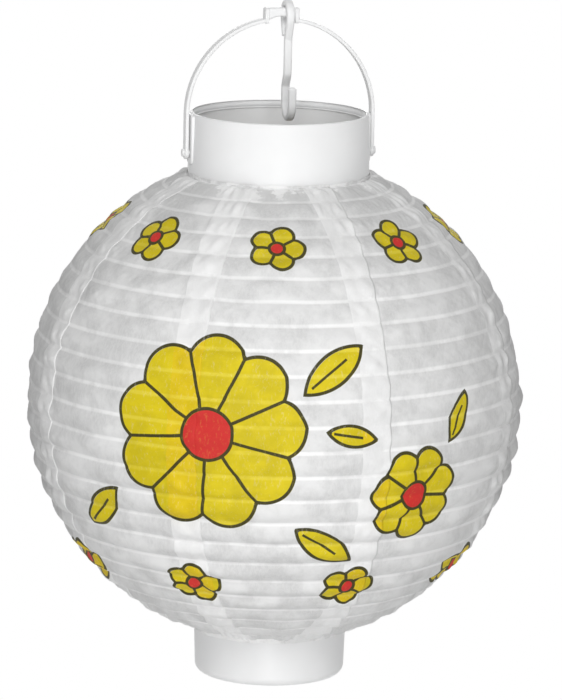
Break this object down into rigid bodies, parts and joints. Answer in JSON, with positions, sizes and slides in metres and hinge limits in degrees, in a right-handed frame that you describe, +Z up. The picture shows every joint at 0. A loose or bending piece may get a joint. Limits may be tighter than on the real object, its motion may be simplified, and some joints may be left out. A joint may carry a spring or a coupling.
{
  "type": "round paper hanging lantern",
  "caption": "Round paper lantern on wire hoops, with a moulded collar, a swinging bail, an S-shaped hanging hook and a battery light in its base cup.",
  "frame": {"origin": "underside of the hook seat at the middle of the bail, where a peg or hook holds the lantern up", "axes": "+Z up along the globe's axis, +X along the bail's pivots, -Y towards the side that the picture shows"},
  "size_m": [0.1992, 0.1992, 0.2747],
  "materials": {
    "white_plastic": "smooth moulded white",
    "paper": "thin white paper pasted in gores",
    "wire": "white-coated wire",
    "cell_wrap": "plain dark sleeve",
    "contact_metal": "nickel-plated strip",
    "screw_metal": "zinc-plated",
    "dark_plastic": "black moulding",
    "brass": "rolled thread",
    "glass": "clear"
  },
  "bodies": {
    "handle": {"bail_handle": "white_plastic"},
    "hook": {"hanging_hook": "white_plastic"},
    "collar": {"top_collar": "white_plastic", "paper_gores": "paper", "wire_hoops": "wire"},
    "base": {"base_cup": "white_plastic", "switch_housing": "dark_plastic", "lamp_deck": "white_plastic", "deck_screws": "screw_metal", "lamp_socket": "dark_plastic", "cell_front": "cell_wrap", "cell_rear": "cell_wrap", "contact_bridge": "contact_metal", "contact_positive": "contact_metal", "contact_negative": "contact_metal"},
    "bulb": {"bulb_cap": "brass", "bulb_glass": "glass"},
    "door": {"battery_door": "white_plastic"},
    "screw": {"door_screw": "screw_metal"},
    "switch": {"switch_slider": "dark_plastic"}
  },
  "joints": [
    {"name": "hook_swing", "type": "hinge", "parent": "handle", "child": "hook", "pos_m": [0.0026, 0, 0.00129], "axis": [1, 0, 0], "continuous": true},
    {"name": "collar_swing", "type": "hinge", "parent": "handle", "child": "collar", "pos_m": [0, 0, -0.0544], "axis": [1, 0, 0], "range_deg": [-50, 50]},
    {"name": "globe_fold", "type": "slide", "parent": "collar", "child": "base", "axis": [0, 0, 1], "range_m": [0, 0.157], "deforming": ["paper_gores", "wire_hoops"]},
    {"name": "bulb_out", "type": "slide", "parent": "base", "child": "bulb", "axis": [0, 0, 1], "range_m": [0, 0.02]},
    {"name": "door_off", "type": "slide", "parent": "base", "child": "door", "axis": [0, 0, -1], "range_m": [0, 0.03]},
    {"name": "screw_turn", "type": "hinge", "parent": "door", "child": "screw", "pos_m": [0, -0.0166, -0.2677], "axis": [0, 0, 1], "continuous": true},
    {"name": "switch_slide", "type": "slide", "parent": "base", "child": "switch", "axis": [1, 0, 0], "range_m": [0, 0.0036]}
  ]
}
